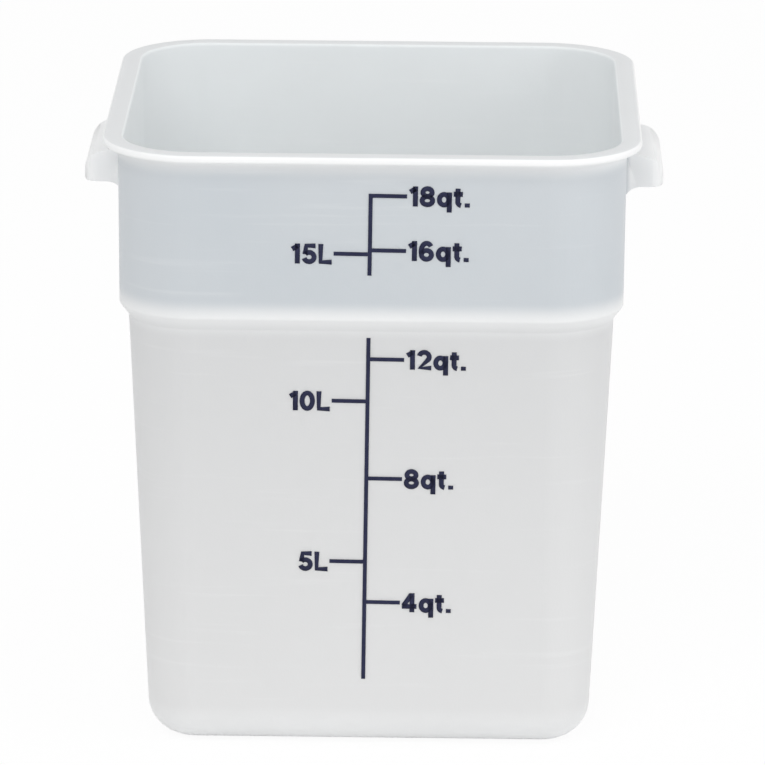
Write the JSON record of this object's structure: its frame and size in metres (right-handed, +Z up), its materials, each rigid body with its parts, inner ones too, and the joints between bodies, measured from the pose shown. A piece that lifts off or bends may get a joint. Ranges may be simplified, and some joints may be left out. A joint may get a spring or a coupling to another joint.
{
  "type": "food storage container",
  "caption": "Square open tub with a stepped wall, a flat rim, a hooded handle on two sides and a printed quart and litre scale, for proofing dough.",
  "frame": {"origin": "middle of the resting face, under the floor", "axes": "+Z up through the open mouth, the printed scale faces -Y, the handles lie on +X and -X"},
  "size_m": [0.3066, 0.2802, 0.326],
  "materials": {
    "polyethylene": "satin, milky white, slightly translucent polyethylene",
    "ink": "flat dark blue printing ink"
  },
  "bodies": {
    "root": {"tub": "polyethylene", "upper_scale_line": "ink", "lower_scale_line": "ink", "quart_marks": "ink", "litre_marks": "ink"}
  },
  "joints": []
}
